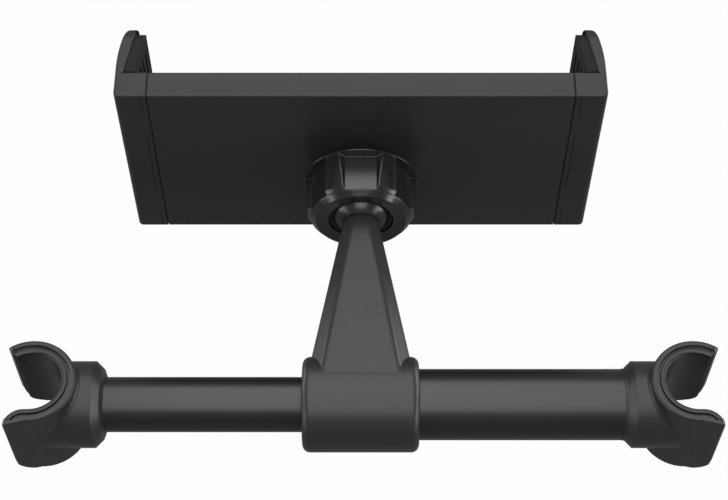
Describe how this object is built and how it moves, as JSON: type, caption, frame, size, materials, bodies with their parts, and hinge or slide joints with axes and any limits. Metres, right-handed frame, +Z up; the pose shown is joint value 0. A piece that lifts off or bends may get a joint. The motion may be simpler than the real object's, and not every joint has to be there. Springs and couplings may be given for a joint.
{
  "type": "headrest tablet mount",
  "caption": "Sprung telescopic bar with a hook at each end for headrest posts and a tapered arm whose ball joint and lock nut carry a sprung, padded tablet clamp.",
  "frame": {"origin": "axis of the fixed (right) headrest post, at the height of the bar's axis", "axes": "+X along the bar, from the sliding post to the fixed post; +Y from the posts towards the tablet; +Z up along the posts"},
  "size_m": [0.1616, 0.102, 0.0566],
  "materials": {
    "tube": "satin",
    "housing": "fine moulded grain",
    "cover": "smooth satin",
    "ball": "smooth",
    "liner": "smooth",
    "pad": "soft matt",
    "steel": "bright",
    "black_steel": "black oxide"
  },
  "bodies": {
    "bar": {"outer_tube": "tube", "support_arm": "housing", "set_screw": "black_steel", "guide_bush": "liner", "bar_spring": "steel", "right_end_plug": "liner", "right_hook": "housing", "right_hook_pad": "pad", "right_hook_screw": "steel", "swivel_ball": "ball", "ball_screw": "steel"},
    "slider": {"inner_tube": "tube", "stop_plug": "liner", "left_end_plug": "liner", "left_hook": "housing", "left_hook_pad": "pad", "left_hook_screw": "steel"},
    "rear_seat": {"rear_ball_seat": "liner"},
    "front_seat": {"front_ball_seat": "liner"},
    "holder": {"back_cover": "cover", "front_cover": "cover", "front_pad": "pad", "cover_screws": "steel", "right_jaw_spring": "steel", "left_jaw_spring": "steel"},
    "nut": {"lock_nut": "cover"},
    "right_clamp": {"right_jaw": "cover", "right_jaw_pad": "pad"},
    "left_clamp": {"left_jaw": "cover", "left_jaw_pad": "pad"}
  },
  "joints": [
    {"name": "bar_slide", "type": "slide", "parent": "bar", "child": "slider", "axis": [1, 0, 0], "range_m": [0, 0.03], "stiffness_N_per_m": 400, "springref_m": -0.0375, "deforming": ["bar_spring"]},
    {"name": "holder_yaw", "type": "hinge", "parent": "bar", "child": "rear_seat", "pos_m": [-0.0757, 0.0561, 0], "axis": [0, 0, 1], "range_deg": [-15, 15]},
    {"name": "holder_tilt", "type": "hinge", "parent": "rear_seat", "child": "front_seat", "pos_m": [-0.0757, 0.0561, 0], "axis": [1, 0, 0], "range_deg": [-15, 15]},
    {"name": "holder_roll", "type": "hinge", "parent": "front_seat", "child": "holder", "pos_m": [-0.0757, 0.0561, 0], "axis": [0, 1, 0], "continuous": true},
    {"name": "nut_turn", "type": "hinge", "parent": "holder", "child": "nut", "pos_m": [-0.0757, 0.0561, 0], "axis": [0, 1, 0], "range_deg": [0, 270]},
    {"name": "right_jaw_slide", "type": "slide", "parent": "holder", "child": "right_clamp", "axis": [1, 0, 0], "range_m": [0, 0.035], "stiffness_N_per_m": 150, "springref_m": -0.03, "deforming": ["right_jaw_spring"]},
    {"name": "left_jaw_slide", "type": "slide", "parent": "holder", "child": "left_clamp", "axis": [-1, 0, 0], "range_m": [0, 0.035], "stiffness_N_per_m": 150, "springref_m": -0.03, "deforming": ["left_jaw_spring"]}
  ]
}
